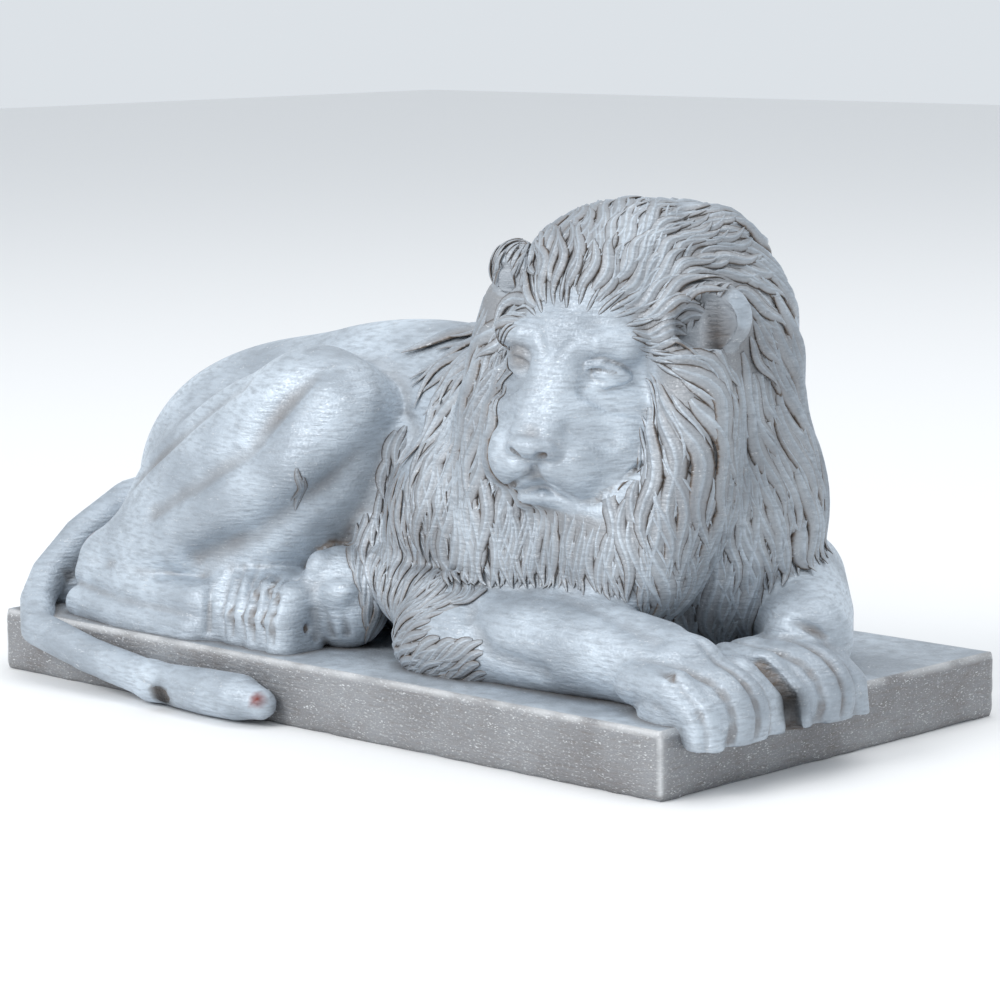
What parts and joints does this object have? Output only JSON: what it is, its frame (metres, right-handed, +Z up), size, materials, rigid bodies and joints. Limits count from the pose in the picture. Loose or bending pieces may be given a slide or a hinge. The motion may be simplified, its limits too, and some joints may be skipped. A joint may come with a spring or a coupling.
{
  "type": "lion statue",
  "caption": "Small printed statue of a maned lion lying on a flat slab, with its paws over the front edge and its tail over one side.",
  "frame": {"origin": "centre of the slab's underside", "axes": "+X along the slab towards the forepaws, +Y to the lion's left, +Z up"},
  "size_m": [0.1603, 0.0876, 0.0832],
  "materials": {
    "silver_paint": "satin silver paint over printed plastic, with a brown wash in the hollows"
  },
  "bodies": {
    "root": {"lion_statue": "silver_paint"}
  },
  "joints": []
}
